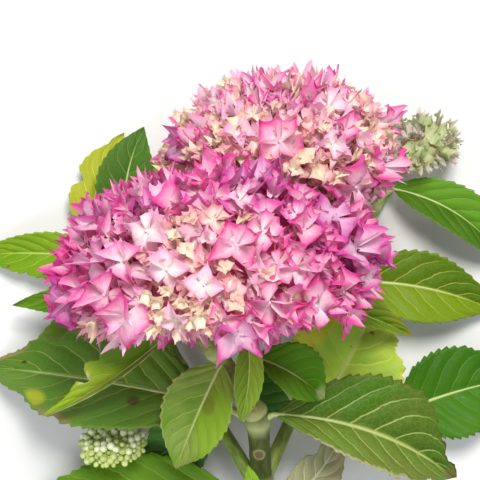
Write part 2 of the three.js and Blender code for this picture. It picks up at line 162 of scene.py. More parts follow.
def add_tube(bm, line, radius_at, sides):
    """A tube round a line of places and directions; radius_at takes the share and the angle."""
    steps = len(line) - 1
    made = bmesh.ops.create_grid(
        bm, x_segments=sides, y_segments=steps, size=1, calc_uvs=True
    )["verts"]
    ends = [[], []]
    for vert in made:
        share, angle = (vert.co.y + 1) / 2, math.pi * vert.co.x
        middle, along = line[round(share * steps)]
        right, up = square_to(along)
        if vert.co.y < -0.9999 or vert.co.y > 0.9999:
            ends[int(vert.co.y > 0)].append(vert)
        vert.co = middle + (right * math.sin(angle) + up * math.cos(angle)) * radius_at(share, angle)
    bmesh.ops.remove_doubles(bm, verts=made, dist=1e-4)
    return [[v for v in end if v.is_valid] for end in ends]


def finish_piece(name, bm, materials, node):
    """Turns a bmesh in the branch's layout into a piece in the frame that stands for a node."""
    bmesh.ops.transform(bm, matrix=to_frame, verts=bm.verts)
    for vert in bm.verts:
        vert.co.z = max(vert.co.z, FLOOR_GAP)
    mesh = bpy.data.meshes.new(name)
    for face in bm.faces:
        face.smooth = True
    bm.to_mesh(mesh)
    bm.free()
    for material in materials:
        mesh.materials.append(material)
    piece = bpy.data.objects.new(name, mesh)
    bpy.context.scene.collection.objects.link(piece)
    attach(piece, "root")
    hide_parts(node)


def node_adder(tree):
    """A short way to add a node to a tree, with its values, links and settings."""

    def add(kind, values=None, links=None, **settings):
        node = tree.nodes.new(kind)
        for key, value in settings.items():
            setattr(node, key, value)
        for key, value in (values or {}).items():
            node.inputs[key].default_value = value
        for key, source in (links or {}).items():
            tree.links.new(source, node.inputs[key])
        return node

    return add


def new_material(name, roughness, subsurface=0.0, gloss=0.35):
    """A material with its Principled shader, and the short ways to add nodes and links."""
    material = bpy.data.materials.new(name)
    material.use_nodes = True
    tree = material.node_tree
    shader = tree.nodes["Principled BSDF"]
    shader.inputs["Roughness"].default_value = roughness
    shader.inputs["Specular IOR Level"].default_value = gloss
    shader.inputs["Subsurface Weight"].default_value = subsurface
    shader.inputs["Subsurface Scale"].default_value = 0.003
    return material, shader, node_adder(tree), tree.links.new


def feed(node, place, value):
    """Gives one input of a node either another node's socket or a plain value."""
    if hasattr(value, "is_linked"):
        node.id_data.links.new(value, node.inputs[place])
    else:
        node.inputs[place].default_value = value


def add_mix(add, share, first, second):
    """Colour mix whose share, first and second are each a socket or a plain value."""
    node = add("ShaderNodeMix", data_type="RGBA")
    for place, value in ((0, share), (6, first), (7, second)):
        feed(node, place, value)
    return node.outputs[2]


def add_math(add, operation, first, second=0.0, third=0.0, clamp=False):
    """Math node on sockets or plain numbers."""
    node = add("ShaderNodeMath", operation=operation, use_clamp=clamp)
    for place, value in enumerate((first, second, third)):
        feed(node, place, value)
    return node.outputs[0]


def add_range(add, value, low, high, top=1.0, kind="LINEAR"):
    """How far a value is from low to high, held between 0 and top."""
    limits = {"From Min": low, "From Max": high, "To Max": top}
    return add("ShaderNodeMapRange", limits, {"Value": value}, interpolation_type=kind).outputs[0]


def add_noise(add, scale, detail, place=None):
    """Cloudy noise at a place, by itself at the place on the piece."""
    if place is None:
        place = add("ShaderNodeTexCoord").outputs["Object"]
    return add("ShaderNodeTexNoise", {"Scale": scale, "Detail": detail}, {"Vector": place}).outputs[0]


def bark_material(name, colours, nodes, scar):
    """Smooth young bark: streaks, warm speckles, pale bands at the nodes and a leaf scar."""
    material, shader, add, link = new_material(name, 0.5, 0.05)
    place = add("ShaderNodeUVMap", uv_map="around_along").outputs[0]
    spread = add("ShaderNodeMapping", {"Scale": (9, 14, 1)}, {"Vector": place}).outputs[0]
    streak = add_noise(add, 1.6, 5, spread)
    main, deep, warm = (colour_of(c) for c in colours)
    base = add_mix(add, add_range(add, streak, 0.38, 0.62), main, deep)
    dots = add_range(add, add_noise(add, 620, 3), 0.6, 0.68)
    patches = add_range(add, add_noise(add, 60, 3), 0.42, 0.62)
    base = add_mix(add, add_math(add, "MULTIPLY", dots, patches), base, warm)
    along = add("ShaderNodeSeparateXYZ", links={"Vector": place}).outputs[1]
    for at, _, reach in nodes:
        far = add_math(add, "ABSOLUTE", add_math(add, "SUBTRACT", along, at))
        base = add_mix(add, add_range(add, far, 1.3 * reach, 0, 0.7), base, colour_of(NODE_TINT))
    if scar:
        middle = {1: to_frame @ Vector(scar)}
        on_piece = {0: add("ShaderNodeTexCoord").outputs["Object"]}
        far = add("ShaderNodeVectorMath", middle, on_piece, operation="DISTANCE").outputs["Value"]
        for size, tint in SCAR_RINGS:
            base = add_mix(add, add_range(add, far, size, 0.75 * size, 0.85), base, colour_of(tint))
    link(base, shader.inputs["Base Color"])
    bump = add("ShaderNodeBump", {"Strength": 0.35, "Distance": 0.0004}, {"Height": streak})
    link(bump.outputs[0], shader.inputs["Normal"])
    return material


def stem_radius(stem, share, angle, seed):
    """Radius of a stem with its swellings at the nodes and the low ridges of its bark."""
    spans = len(stem["radii"]) - 1
    i = min(int(share * spans), spans - 1)
    low, high = stem["radii"][i], stem["radii"][i + 1]
    radius = low + (high - low) * (share * spans - i)
    for at, swell, reach in stem["nodes"]:
        radius += swell * math.exp(-(((share - at) / reach) ** 2))
        radius += 0.35 * math.exp(-(((share - at) / (0.18 * reach)) ** 2))
    ridge = 0.022 * math.cos(STEM_RIDGES * angle + 5 * share)
    grain = 0.035 * noise.noise(Vector((3 * math.cos(angle), 3 * math.sin(angle), 40 * share + seed)))
    return radius * (1 + ridge + grain)


stem_lines = {}
for seed, (name, stem) in enumerate(STEMS.items()):
    length = smooth_line(stem["path"], 4)[1]
    line = smooth_line(stem["path"], round(length / STEM_STEP))[0]
    stem_lines[name] = smooth_line(stem["path"], STEM_PLACES)[0]
    bm = bmesh.new()
    bm.loops.layers.uv.new("around_along")
    foot, top = add_tube(bm, line, lambda s, a: stem_radius(stem, s, a, seed), STEM_SIDES)
    if name == "main_stem":
        everything = bm.verts[:] + bm.edges[:] + bm.faces[:]
        cut = bmesh.ops.bisect_plane(
            bm, geom=everything, plane_co=CUT_MIDDLE, plane_no=(0, -1, 0), clear_outer=True
        )["geom_cut"]
        rim = [e for e in cut if isinstance(e, bmesh.types.BMEdge)]
        cap = bmesh.ops.contextual_create(bm, geom=rim)["faces"]
        for depth, thickness in ((0.0, 0.9), (-0.12, 2.6)):
            for face in cap:
                face.material_index = 1 if thickness < 1 else 2
            bmesh.ops.inset_region(
                bm, faces=cap, thickness=thickness, depth=depth, use_even_offset=False
            )
        for face in cap:
            face.material_index = 3
    else:
        for end in (foot, top):
            bmesh.ops.contextual_create(bm, geom=end)
    bmesh.ops.recalc_face_normals(bm, faces=bm.faces)
    materials = [bark_material(f"{name}_bark", stem["colours"], stem["nodes"], stem.get("scar"))]
    if name == "main_stem":
        for layer, tint in CUT_TINTS.items():
            material, shader, add, link = new_material(layer, 0.75)
            dim = tuple(0.75 * c for c in colour_of(tint)[:3]) + (1,)
            grain = add_mix(add, add_noise(add, 2400, 4), dim, colour_of(tint))
            link(grain, shader.inputs["Base Color"])
            materials.append(material)
    finish_piece(f"{name}_bark_piece", bm, materials, name)


# The leaves: broad, pointed and coarsely toothed, with the surface quilted between curved
# side veins and a ribbed underside. Each blade narrows into a pale stalk whose foot sits
# on a stem.

# Stem, place on it, foot and tip of the blade, arch, sway, width, roll, twist, fold, belly.
LEAVES = {
    "leaf_mid": ("front_peduncle", 0.42, (-9, -60, 77), (-32, -114, 58), 6, 1, 38, -15, 6, 19, 0.42),
    "leaf_small": ("front_peduncle", 0.8, (4, -48, 92), (0, -88, 80), 5, -2, 18, 0, 0, 38, 0.4),
    "leaf_right_big": ("main_stem", 0.9, (17, -87, 56), (110, -122, 36), 9, -9, 60, 28, -6, 28, 0.54),
    "leaf_left_big": ("main_stem", 0.9, (-9, -83, 50), (-135, -68, 2), 17, 4, 56, -19, 4, 16, 0.5),
    "leaf_folded": (
        "front_peduncle", 0.78, (-33, -44, 82), (-98, -88, 56), 5, -3, 34, -20, 0, 54, 0.42,
    ),
    "leaf_under": ("front_peduncle", 0.42, (7, -57, 74), (42, -79, 60), 4, -3, 32, 22, 8, 30, 0.5),
    "leaf_yellow": ("back_shoot", 0.28, (40, -86, 27), (70, -31, 28), 7, 2, 62, 4, 0, 10, 0.45),
    "leaf_narrow": ("back_shoot", 0.56, (38, -31, 47), (88, -49, 45), 5, -2, 22, 18, 0, 46, 0.42),
    "leaf_right": ("back_shoot", 0.56, (56, -22, 21), (136, -38, 8), 8, -5, 39, 6, -6, 14, 0.45),
    "leaf_arching": ("young_shoot", 0.72, (81, 27, 16), (143, -14, 1), 12, -7, 30, 10, 0, 32, 0.45),
    "leaf_far_right": ("back_shoot", 0.34, (84, -91, 14), (149, -74, 1), 7, -3, 50, 6, 0, 12, 0.45),
    "leaf_left": ("left_shoot", 0.84, (-68, -10, 14), (-142, -8, 1), 6, 2, 28, 10, 0, 24, 0.42),
    "leaf_left_edge": ("left_shoot", 0.79, (-66, -30, 22), (-119, -34, 20), 5, 2, 20, 12, 0, 44, 0.42),
    "leaf_left_pale": ("left_shoot", 0.5, (-52, -50, 13), (-113, -61, 5), 6, 5, 32, 0, 0, 10, 0.42),
    "leaf_dark_up": ("left_shoot", 0.97, (-61, 8, 16), (-50, 59, 24), 6, -3, 32, 0, 0, 12, 0.42),
    "leaf_yellow_up": ("left_shoot", 0.92, (-77, 0, 8), (-62, 57, 3), 5, -6, 28, 0, 0, 8, 0.42),
    "leaf_tip_right": ("left_shoot", 0.97, (-47, 8, 9), (-40, 52, 8), 4, 4, 24, 0, 0, 10, 0.42),
    "leaf_hidden": ("back_shoot", 0.2, (30, -88, 28), (4, -58, 36), 4, 2, 36, 0, 0, 10, 0.42),
    "leaf_behind": ("left_shoot", 0.2, (-15, -101, 23), (-50, -121, 6), 4, 3, 36, 0, 0, 10, 0.42),
    "leaf_bottom_left": ("main_stem", 0.62, (-5, -132, 27), (-126, -147, 2), 6, -1, 55, -12, 0, 8, 0.42),
    "leaf_sprout": ("main_stem", 0.62, (8, -130, 41), (4, -113, 52), 1, 0, 9, 0, 0, 25, 0.42),
    "leaf_dry": ("main_stem", 0.37, (21, -140, 20), (53, -101, 25), 6, 3, 27, 0, 10, 26, 0.5),
}
# Teeth a side, side veins, wave of the margin in mm, and colours: right half, left half,
# veins and margin. The two halves' greens differ as painted light and shade on the folded blade.
LEAF_LOOKS = {
    "leaf_mid": (13, 7, 0.8, (92, 136, 23), (103, 132, 26), (163, 183, 86), (182, 190, 112)),
    "leaf_small": (9, 6, 0.4, (110, 147, 34), (123, 156, 39), (171, 190, 86), (154, 178, 71)),
    "leaf_right_big": (22, 8, 1.4, (94, 130, 42), (65, 106, 20), (165, 182, 99), (100, 95, 40)),
    "leaf_left_big": (22, 8, 1.6, (78, 120, 31), (87, 133, 43), (139, 166, 75), (116, 137, 52)),
    "leaf_folded": (15, 7, 0.8, (152, 190, 26), (132, 172, 22), (191, 200, 102), (178, 176, 87)),
    "leaf_under": (13, 6, 0.9, (71, 121, 12), (76, 132, 13), (114, 155, 42), (104, 148, 33)),
    "leaf_yellow": (18, 7, 1.2, (142, 178, 60), (160, 204, 66), (192, 214, 93), (206, 206, 74)),
    "leaf_narrow": (13, 7, 0.6, (77, 129, 26), (68, 118, 22), (129, 165, 60), (167, 142, 46)),
    "leaf_right": (17, 7, 1.0, (108, 138, 14), (70, 104, 8), (156, 168, 62), (112, 136, 30)),
    "leaf_arching": (17, 7, 0.8, (60, 98, 14), (90, 144, 32), (104, 146, 46), (96, 138, 40)),
    "leaf_far_right": (18, 7, 1.2, (58, 114, 14), (50, 102, 10), (84, 134, 38), (76, 122, 26)),
    "leaf_left": (15, 7, 0.8, (111, 152, 16), (100, 144, 14), (163, 185, 64), (133, 164, 34)),
    "leaf_left_edge": (13, 6, 0.6, (94, 143, 27), (84, 133, 23), (143, 176, 61), (116, 156, 40)),
    "leaf_left_pale": (14, 6, 0.8, (118, 147, 44), (108, 141, 40), (158, 178, 81), (141, 164, 62)),
    "leaf_dark_up": (13, 6, 0.8, (69, 111, 34), (62, 103, 31), (106, 142, 62), (92, 130, 46)),
    "leaf_yellow_up": (13, 6, 0.8, (165, 172, 34), (151, 163, 32), (198, 200, 85), (178, 178, 54)),
    "leaf_tip_right": (12, 6, 0.6, (142, 156, 38), (131, 149, 35), (181, 189, 82), (160, 169, 57)),
    "leaf_hidden": (12, 6, 0.8, (69, 124, 40), (64, 116, 36), (114, 157, 70), (94, 142, 56)),
    "leaf_behind": (12, 6, 0.8, (66, 118, 42), (60, 110, 39), (110, 151, 72), (92, 136, 58)),
    "leaf_bottom_left": (19, 7, 1.2, (87, 133, 14), (70, 113, 12), (136, 166, 50), (109, 144, 27)),
    "leaf_sprout": (6, 4, 0.2, (131, 176, 35), (123, 170, 31), (177, 202, 76), (160, 191, 62)),
    "leaf_dry": (12, 6, 1.0, (168, 166, 128), (154, 156, 112), (208, 206, 180), (150, 142, 96)),
}
# Bites out of the margin: half (1 right, -1 left), place, length and depth, as shares.
LEAF_BITES = {
    "leaf_folded": (
        (-1, 0.5, 3, 0.62), (1, 0.6, 0.035, 0.62), (1, 0.8, 0.16, 0.42), (1, 0.44, 0.02, 0.2),
    ),
    "leaf_right_big": (
        (-1, 0.8, 0.05, 0.2), (-1, 0.9, 0.05, 0.5), (1, 0.5, 0.5, 0.13), (1, 0.66, 0.02, 0.12),
        (1, 0.83, 0.03, 0.16),
    ),
    "leaf_left_big": (
        (1, 0.7, 0.03, 0.14), (1, 0.86, 0.05, 0.2), (-1, 0.8, 0.06, 0.16), (-1, 0.62, 0.02, 0.1),
    ),
    "leaf_yellow": ((-1, 0.55, 0.03, 0.16), (1, 0.7, 0.04, 0.18)),
    "leaf_narrow": ((1, 0.7, 0.05, 0.25),),
    "leaf_yellow_up": ((-1, 0.5, 0.05, 0.4), (-1, 0.85, 0.06, 0.3), (1, 0.6, 0.05, 0.2)),
    "leaf_left": ((-1, 0.6, 0.02, 0.1),),
    "leaf_dry": ((1, 0.5, 0.05, 0.3), (-1, 0.7, 0.06, 0.3)),
}
# Blemishes: place across and along the blade, half width and half length as shares, colour.
LEAF_SPOTS = {
    "leaf_left_big": (
        (0.15, 0.73, 0.11, 0.05, (170, 180, 46)), (0.66, 0.83, 0.035, 0.012, (58, 46, 26)),
        (0.34, 0.34, 0.06, 0.025, (84, 78, 44)), (0.04, 0.62, 0.05, 0.08, (142, 126, 84)),
        (0.92, 0.9, 0.08, 0.08, (150, 132, 84)),
    ),
    "leaf_folded": (
        (0.86, 0.6, 0.1, 0.06, (214, 220, 150)), (0.1, 0.5, 0.2, 0.6, (206, 200, 156)),
        (0.9, 0.25, 0.5, 0.24, (70, 108, 22)),
    ),
    "leaf_right_big": (
        (0.02, 0.88, 0.05, 0.12, (82, 60, 34)), (0.98, 0.6, 0.05, 0.5, (164, 160, 120)),
        (0.5, 1, 0.4, 0.06, (120, 104, 62)),
    ),
    "leaf_yellow": (
        (0.06, 0.5, 0.16, 0.5, (206, 204, 60)), (0.62, 0.74, 0.03, 0.015, (104, 86, 34)),
        (0.34, 0.8, 0.035, 0.015, (96, 88, 40)), (0.5, 1, 0.5, 0.12, (186, 180, 110)),
    ),
    "leaf_narrow": ((0.5, 1, 0.5, 0.07, (196, 128, 52)),),
    "leaf_under": ((0.5, 1, 0.5, 0.14, (164, 184, 118)),),
    "leaf_mid": (
        (0.2, 0.45, 0.3, 0.3, (132, 170, 40)), (0.4, 0.34, 0.1, 0.08, (118, 132, 38)),
        (0.5, 1, 0.4, 0.05, (164, 160, 84)),
    ),
}
LEAF_ACROSS = 20
ROWS_PER_TOOTH = 4
LEAF_THICKNESS = 0.6
SIDE_VEIN_SWEEP = 0.3
STALK_STEPS = 14
MIDRIB_STEPS = 16
SPECK_TINT = (112, 84, 44)
UNDERSIDE_TINT = (176, 194, 140)


def vein_group():
    """Masks of a leaf's veins and the quilting between them, from its own map."""
    group = bpy.data.node_groups.new("leaf_veins", "ShaderNodeTree")
    group.interface.new_socket("Place", in_out="INPUT", socket_type="NodeSocketVector")
    group.interface.new_socket("Side veins", in_out="INPUT", socket_type="NodeSocketFloat")
    for mask in ("Veins", "Quilt", "Margin", "Right half"):
        group.interface.new_socket(mask, in_out="OUTPUT", socket_type="NodeSocketFloat")
    add = node_adder(group)
    given = add("NodeGroupInput")
    shift = add_noise(add, 7, 2, given.outputs[0])
    apart = add("ShaderNodeSeparateXYZ", links={"Vector": given.outputs[0]})
    side = add_math(add, "MULTIPLY_ADD", apart.outputs[0], 2.0, -1.0)
    wide = add_math(add, "ABSOLUTE", side)
    bend = add_math(add, "MULTIPLY", add_math(add, "POWER", wide, 1.25), SIDE_VEIN_SWEEP)
    run = add_math(add, "SUBTRACT", apart.outputs[1], bend)
    run = add_math(add, "MULTIPLY_ADD", add_math(add, "SUBTRACT", shift, 0.5), 0.05, run)
    beat = add_math(add, "FRACT", add_math(add, "MULTIPLY", run, given.outputs[1]))
    gap = add_math(add, "ABSOLUTE", add_math(add, "SUBTRACT", beat, 0.5))
    side_vein = add_range(add, gap, 0.43, 0.49, kind="SMOOTHSTEP")
    side_vein = add_math(add, "MULTIPLY", side_vein, add_range(add, wide, 0.98, 0.55))
    midrib = add_range(add, wide, 0.065, 0.02, kind="SMOOTHSTEP")
    stretch = add("ShaderNodeMapping", {"Scale": (16, 34, 1)}, {"Vector": given.outputs[0]}).outputs[0]
    cells = add("ShaderNodeTexVoronoi", {"Scale": 1}, {"Vector": stretch}, feature="DISTANCE_TO_EDGE")
    net = add_range(add, cells.outputs[0], 0.1, 0, 0.13)
    veins = add_math(add, "MAXIMUM", add_math(add, "MAXIMUM", side_vein, midrib), net, clamp=True)
    quilt = add_math(add, "SINE", add_math(add, "MULTIPLY", beat, math.pi))
    quilt = add_math(add, "SUBTRACT", quilt, add_math(add, "MULTIPLY", net, 0.5))
    margin = add_range(add, wide, 0.92, 1)
    half = add_range(add, side, -0.12, 0.12)
    out = add("NodeGroupOutput")
    for place, socket in enumerate((veins, quilt, margin, half)):
        group.links.new(socket, out.inputs[place])
    return group


leaf_veins = vein_group()


def leaf_material(name, look, spots, under):
    """Leaf skin: two halves in greens that paint light and shade, paler veins, blotches and specks."""
    _, side_veins, _, right_half, left_half, vein, edge = look
    material, shader, add, link = new_material(name, 0.62 if under else 0.46, 0.08, 0.14)
    place = add("ShaderNodeUVMap", uv_map="blade").outputs[0]
    veins = add("ShaderNodeGroup", {"Side veins": side_veins}, {"Place": place}, node_tree=leaf_veins)
    cloud = add_noise(add, 42, 4)
    # The two greens of the halves are painted light and shade of the folded blade.
    base = add_mix(add, veins.outputs["Right half"], colour_of(left_half), colour_of(right_half))
    base = add_mix(add, add_range(add, cloud, 0.35, 0.7, 0.42), base, colour_of(edge))
    worn = add_math(add, "MULTIPLY", veins.outputs["Margin"], 0.75)
    base = add_mix(add, worn, base, colour_of(edge))
    strength = add_math(add, "MULTIPLY", veins.outputs["Veins"], 0.6 if under else 0.85)
    base = add_mix(add, strength, base, colour_of(vein))
    base = add_mix(add, add_range(add, add_noise(add, 210, 2), 0.73, 0.78), base, colour_of(SPECK_TINT))
    ragged = add_math(add, "MULTIPLY_ADD", cloud, 1.2, -0.6)
    for across, along, wide, long, colour in spots:
        to_spot = {"Location": (-across / wide, -along / long, 0), "Scale": (1 / wide, 1 / long, 0)}
        moved = add("ShaderNodeMapping", to_spot, {"Vector": place}).outputs[0]
        far = add("ShaderNodeVectorMath", links={0: moved}, operation="LENGTH").outputs["Value"]
        mask = add_range(add, add_math(add, "ADD", far, ragged), 1.15, 0.65, 0.85)
        base = add_mix(add, mask, base, colour_of(colour))
    if under:
        base = add_mix(add, 0.38, base, colour_of(UNDERSIDE_TINT))
    link(base, shader.inputs["Base Color"])
    height = add_math(add, "SUBTRACT", veins.outputs["Quilt"], veins.outputs["Veins"])
    bump = add("ShaderNodeBump", {"Strength": 0.4, "Distance": 0.0008}, {"Height": height})
    link(bump.outputs[0], shader.inputs["Normal"])
    return material


def mottled_skin(name, roughness, subsurface, scale, first, second):
    """Plant skin that is mottled between two tints."""
    material, shader, add, link = new_material(name, roughness, subsurface)
    cloud = add_noise(add, scale, 3)
    link(add_mix(add, cloud, colour_of(first), colour_of(second)), shader.inputs["Base Color"])
    return material


leaf_stalk_skin = mottled_skin("leaf_stalk_skin", 0.5, 0.08, 1500, (164, 180, 98), (204, 210, 148))


def blade_width(share, belly):
    """Half width of a blade as a share of its greatest, from foot to tip."""
    swell = max(math.sin(math.pi * share ** (math.log(0.5) / math.log(belly))), 0) ** 0.82
    return max(swell * (1 - 0.3 * share**5), 0.012)


def bezier(a, b, c, t):
    """Place and direction on the midrib's bow."""
    place = a * (1 - t) ** 2 + b * (2 * t * (1 - t)) + c * t**2
    return place, ((b - a) * (1 - t) + (c - b) * t).normalized()


def make_leaf(name, row, look, seed):
    """Blade with teeth, sunken veins and puckered skin, and its stalk and midrib in one mesh."""
    stem, at, start, tip, arch, sway, width, roll, twist, fold, belly = row
    teeth, side_veins, wave = look[:3]
    start, tip = Vector(start), Vector(tip)
    right = (tip - start).cross(UP).normalized()
    control = (start + tip) / 2 + UP * (2 * arch) + right * (2 * sway)
    bm = bmesh.new()
    blade_map = bm.loops.layers.uv.new("blade")
    rows = teeth * ROWS_PER_TOOTH
    grid = bmesh.ops.create_grid(
        bm, x_segments=LEAF_ACROSS, y_segments=rows, size=1, calc_uvs=True
    )["verts"]
    thin = width / 60
    for vert in grid:
        side, share = vert.co.x, (vert.co.y + 1) / 2
        beat = (share * teeth) % 1 if share < 1 else 0
        middle, along = bezier(start, control, tip, share)
        level, level_up = square_to(along)
        lean = math.radians(roll + twist * share)
        out = level * math.cos(lean) + level_up * math.sin(lean)
        up = out.cross(along)
        bite = 1 + 0.085 * (beat - 0.55) * abs(side) ** 6
        bite += 0.03 * noise.noise(Vector((share * 3, seed, side)))
        for half_side, at_share, long, deep in LEAF_BITES.get(name, ()):
            if side * half_side > 0:
                ragged = 1 + 0.5 * noise.noise(Vector((share * 60, seed, half_side)))
                bite -= deep * math.exp(-(((share - at_share) / long) ** 2)) * ragged * abs(side) ** 1.5
        half = 0.5 * width * blade_width(share, belly) * bite
        pair = (share - SIDE_VEIN_SWEEP * abs(side) ** 1.25) * side_veins
        pucker = abs(math.sin(math.pi * pair)) ** 0.7
        inner = min(1, abs(side) * 5) * (1 - abs(side) ** 5)
        inner *= min(1, 6 * share) * min(1, 5 * (1 - share))
        rise = 1.5 * thin * (pucker - 0.5) * inner
        rise -= 0.9 * thin * math.exp(-((side / 0.07) ** 2)) * min(1, 8 * share)
        rise += wave * abs(side) ** 3 * noise.noise(Vector((share * 5, seed + 9, side * 0.7))) * 2.6
        lift = abs(side) * half * math.sin(math.radians(fold)) + rise
        vert.co = middle + out * (side * half * math.cos(math.radians(fold))) + up * lift
    root = stem_lines[stem][round(at * STEM_PLACES)][0]
    along = bezier(start, control, tip, 0)[1]
    bow = root.lerp(start, 0.55) - along * 2
    size = min(1, math.sqrt(width / 40))
    bend = smooth_line([root, bow, start], STALK_STEPS)[0]
    for k in range(1, MIDRIB_STEPS + 1):
        share = k / (MIDRIB_STEPS + 2)
        place, along = bezier(start, control, tip, share)
        level, level_up = square_to(along)
        lean = math.radians(roll + twist * share)
        under = level_up * math.cos(lean) - level * math.sin(lean)
        bend.append((place - under * (0.8 * size), along))
    joint = STALK_STEPS / (len(bend) - 1)

    def stalk_radius(share, angle):
        if share <= joint:
            return size * (2.1 - 0.8 * share / joint) * (1 - 0.12 * math.cos(2 * angle))
        return size * (1.3 - 1.15 * (share - joint) / (1 - joint))

    top_count = len(bm.faces)
    bmesh.ops.solidify(bm, geom=bm.faces[:], thickness=LEAF_THICKNESS)
    blade_count = len(bm.faces)
    bm.faces.ensure_lookup_table()
    for face in bm.faces[top_count:]:
        face.material_index = 1
    for end in add_tube(bm, bend, stalk_radius, 8):
        bmesh.ops.contextual_create(bm, geom=end)
    bm.faces.ensure_lookup_table()
    for face in bm.faces[blade_count:]:
        face.material_index = 2
        for loop in face.loops:
            loop[blade_map].uv = (0.5, 0.5)
    top_skin = leaf_material(f"{name}_top", look, LEAF_SPOTS.get(name, ()), False)
    under_skin = leaf_material(f"{name}_under", look, (), True)
    finish_piece(f"{name}_blade", bm, [top_skin, under_skin, leaf_stalk_skin], name)


for seed, (name, row) in enumerate(LEAVES.items()):
    make_leaf(name, row, LEAF_LOOKS[name], seed)


# The two mophead blooms: hundreds of four-sepalled florets crowd on a dome of fine stalks.
# White or cream where they are young, pink at the edges and tips, mauve where they face
# the sky. Each bloom sits on its stem's tip.

# The middle of a bloom's dome is at base, its youngest part near young. Rim and crown are its
# lower and upper edges as columns and rows of the view from above, and side says on which
# side of the parting plane between the blooms it lies.
BLOOMS = {
    "front_bloom": {
        "stem": "front_peduncle", "base": (-11, -15, 88), "axis": (-0.12, 0.93, 0.35),
        "radius": 74, "height": 57, "under": 22, "side": -1, "polar": 158, "seed": 11,
        "young": (-26, -23, 148), "skew": 0.24, "paler": 0.0, "cream": 0.06,
        "rim": (
            (40, 322), (75, 322), (120, 332), (165, 325), (200, 329), (235, 336), (265, 330),
            (320, 308), (390, 290),
        ),
        "crown": (
            (40, 262), (60, 240), (75, 224), (110, 206), (150, 190), (185, 180), (225, 170),
            (262, 172), (300, 190), (350, 214), (392, 236),
        ),
    },
    "back_bloom": {
        "stem": "back_shoot", "base": (19.5, 41, 60), "axis": (-0.08, 0.92, 0.38),
        "radius": 54, "height": 35, "under": 25, "side": 1, "polar": 158, "seed": 23,
        "young": (30, 33, 118), "skew": 0.0, "paler": 2.3, "cream": 0.3,
        "rim": ((330, 205), (365, 200), (420, 186)), "crown": (),
    },
}
# The large and the cream florets that stand out in the view from above: picture column and
# row, radius in mm, turn in degrees, lean to the right, lean down, mood and shape.
HEROES = {
    "front_bloom": [
        (236, 247, 13.5, 40, 0, 0, 4, 3), (294, 268, 11.5, 10, 0.1, 0.1, 3, 1),
        (350, 249, 15.5, 12, 0.3, 0.1, 6, 2), (339, 289, 11.5, 30, 0.2, 0.3, 4, 3),
        (313, 304, 13.5, 42, 0.1, 0.4, 4, 4), (268, 301, 13, 45, 0, 0.3, 4, 5),
        (235, 330, 14, 45, 0, 0.5, 6, 6), (222, 318, 10, 20, -0.1, 0.4, 4, 3),
        (250, 320, 10, 70, 0.1, 0.4, 4, 1), (130, 313, 14.5, 44, -0.1, 0.4, 4, 7),
        (73, 302, 13.5, 20, -0.4, 0.3, 7, 8), (108, 294, 12.5, 60, -0.2, 0.2, 5, 9),
        (160, 300, 6, 20, 0, 0.2, 0, 0), (203, 314, 6, 70, 0, 0.3, 0, 1),
        (188, 252, 6, 15, 0, 0, 0, 2), (267, 276, 5.5, 33, 0, 0, 0, 3),
        (149, 233, 11.5, 25, -0.1, 0, 2, 4), (177, 316, 9, 50, 0, 0.4, 2, 8),
        (94, 223, 11, 30, -0.4, -0.2, 6, 6), (360, 280, 10.5, 50, 0.4, 0.2, 6, 7),
        (205, 285, 10, 10, 0, 0.1, 2, 8), (168, 270, 10.5, 35, 0, 0.1, 2, 9),
        (127, 262, 11.5, 55, -0.1, 0, 3, 0), (262, 232, 10, 20, 0, -0.1, 3, 1),
        (302, 232, 11.5, 40, 0.1, -0.1, 5, 2), (215, 222, 9, 10, 0, 0, 1, 3),
        (331, 219, 12, 62, 0.2, -0.3, 7, 4), (96, 262, 11.5, 12, -0.3, 0, 6, 5),
        (348, 311, 10, 30, 0.3, 0.5, 5, 6), (151, 296, 5.5, 10, -0.1, 0.2, 0, 4),
        (170, 291, 5.2, 50, 0, 0.1, 0, 5), (184, 301, 5.6, 30, 0.1, 0.2, 0, 6),
        (196, 304, 5, 75, 0, 0.3, 0, 7), (164, 313, 5.5, 20, -0.1, 0.4, 0, 8),
        (191, 319, 5.6, 60, 0, 0.4, 0, 9), (208, 325, 5.2, 0, 0.1, 0.4, 0, 10),
        (157, 324, 5.4, 40, -0.1, 0.5, 0, 11), (214, 309, 5.4, 15, 0, 0.3, 0, 2),
        (180, 328, 5.6, 80, 0, 0.5, 0, 3), (224, 268, 5, 25, 0, 0.1, 0, 1),
        (176, 238, 5.5, 45, 0, 0, 0, 0),
    ],
    "back_bloom": [
        (280, 143, 15.5, 45, 0, 0.2, 4, 3), (327, 110, 10.5, 30, 0.1, -0.1, 2, 1),
        (383, 126, 11, 20, 0.4, 0, 3, 2), (331, 147, 8.5, 60, 0, 0.2, 2, 0),
        (352, 184, 14.5, 45, 0.3, 0.7, 5, 4), (379, 166, 12, 60, 0.5, 0.5, 4, 5),
        (218, 166, 11, 15, -0.2, 0.2, 5, 6), (184, 146, 11.5, 40, -0.5, 0.1, 7, 7),
        (303, 158, 7, 10, 0, 0.2, 0, 8), (292, 168, 7, 50, 0, 0.3, 0, 9),
        (316, 170, 7, 80, 0, 0.3, 0, 0), (347, 106, 7, 20, 0, 0, 1, 1),
        (344, 131, 9, 35, 0.1, 0.1, 5, 2), (254, 118, 7.5, 25, 0, 0, 1, 3),
        (241, 127, 7.5, 45, 0, 0.1, 0, 4), (226, 157, 7.5, 65, -0.1, 0.2, 1, 5),
        (269, 91, 10.5, 20, 0, -0.4, 3, 6), (306, 90, 10, 45, 0.1, -0.4, 4, 7),
    ],
}
CAMERA_HEIGHT = 800.0
CAMERA_WIDE = math.radians(18.31)
PICTURE_SIDE = 480
PIXEL_SLOPE = 2 * math.tan(CAMERA_WIDE / 2) / PICTURE_SIDE
FLORET_SHAPES = 12
PARTING_POINT = Vector((0, 37, 104))
PARTING_NORMAL = Vector((0.27, 0.87, -0.43)).normalized()
PARTING_ROOM = 3.0
PARTING_REACH = 14.0
BED_DEPTH = 15.0
UNDERSIDE_FROM = math.radians(97.2)
